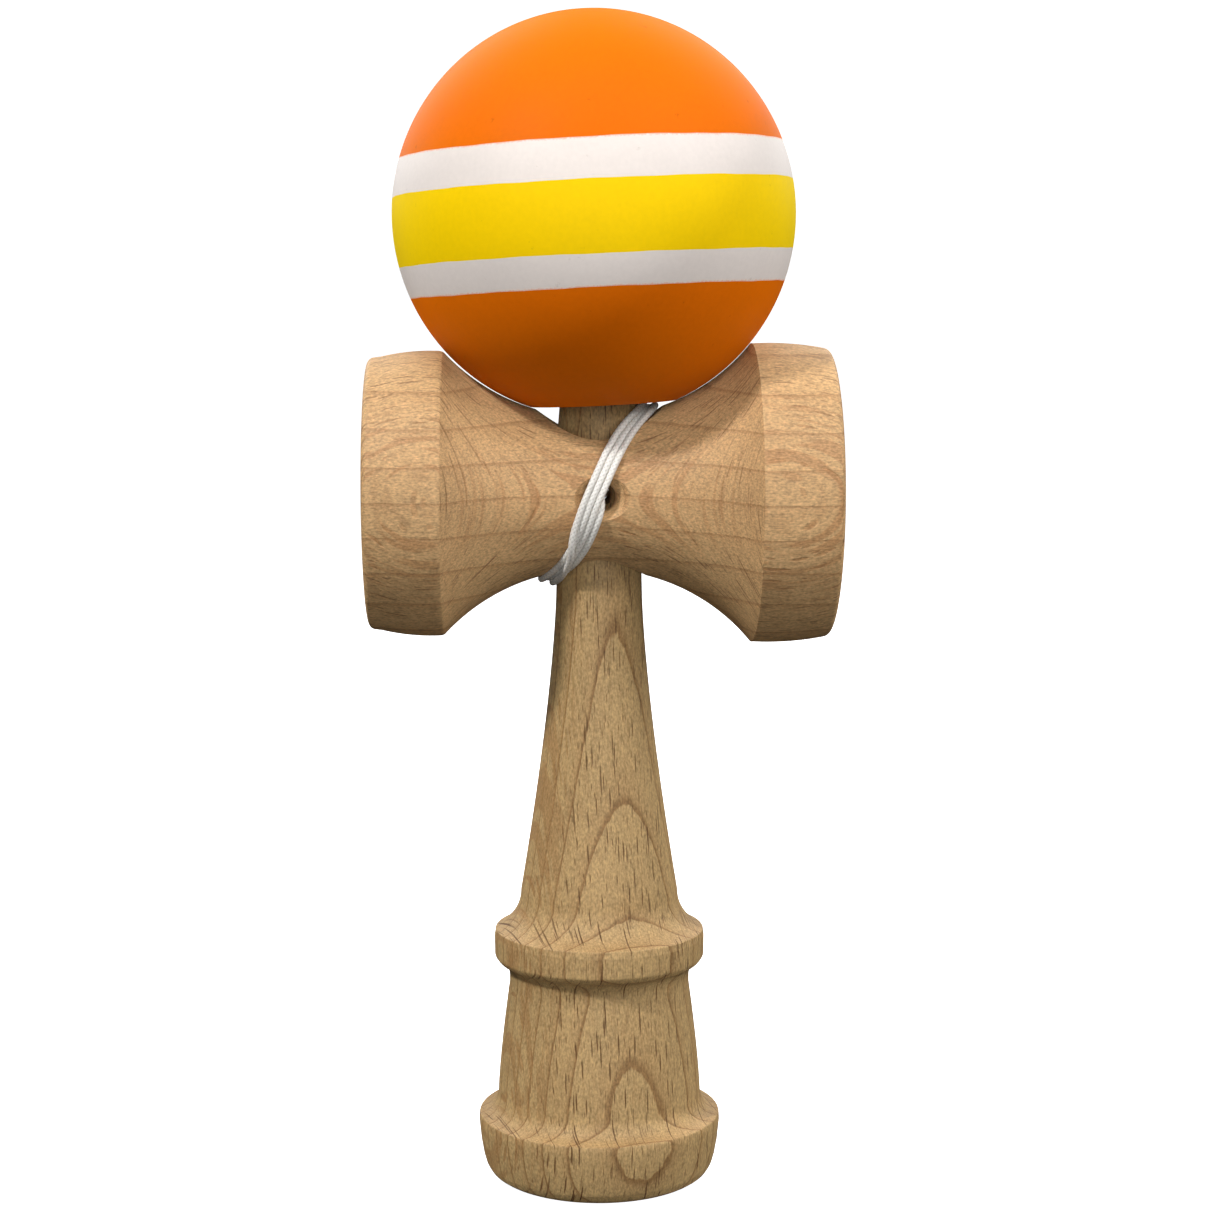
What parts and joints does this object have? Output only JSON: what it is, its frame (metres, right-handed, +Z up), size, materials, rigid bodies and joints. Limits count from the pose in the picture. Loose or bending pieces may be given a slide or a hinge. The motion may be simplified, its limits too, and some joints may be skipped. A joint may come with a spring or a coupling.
{
  "type": "kendama",
  "caption": "Wooden cup-and-ball skill toy: turned handle with spike and base cup, cross-piece with a cup at each end, painted ball on a braided string.",
  "frame": {"origin": "middle of the base rim that the toy stands on", "axes": "+Z up the handle's axis to the spike, +X from the small cup to the big cup, -Y the side with the string across the front hole"},
  "size_m": [0.0692, 0.0614, 0.1774],
  "materials": {
    "beech_handle": "raw turned beech, sanded, unvarnished",
    "beech_crosspiece": "raw turned beech, sanded, unvarnished",
    "ball_wood": "raw bored beech",
    "orange_paint": "matte paint",
    "white_paint": "matte paint",
    "yellow_paint": "matte paint",
    "bead_plastic": "glossy moulded plastic",
    "white_string": "shiny braided polyester"
  },
  "bodies": {
    "handle": {"ken": "beech_handle", "sarado": "beech_crosspiece", "string_winding": "white_string", "string_knot_ken": "white_string"},
    "tether": {"string_bead": "bead_plastic", "string_knot_ball": "white_string", "string_lead": "white_string"},
    "ball": {"ball_core": "ball_wood", "paint_orange_top": "orange_paint", "paint_white_upper": "white_paint", "paint_yellow_band": "yellow_paint", "paint_white_lower": "white_paint", "paint_orange_bottom": "orange_paint"}
  },
  "joints": [
    {"name": "ball_lift", "type": "slide", "parent": "handle", "child": "tether", "axis": [0, 0, 1], "range_m": [0, 0.06], "deforming": ["string_lead"]},
    {"name": "ball_spin", "type": "hinge", "parent": "tether", "child": "ball", "pos_m": [-0.00075, 0, 0.1465], "axis": [-0.0488, 0, 0.9988], "continuous": true}
  ]
}
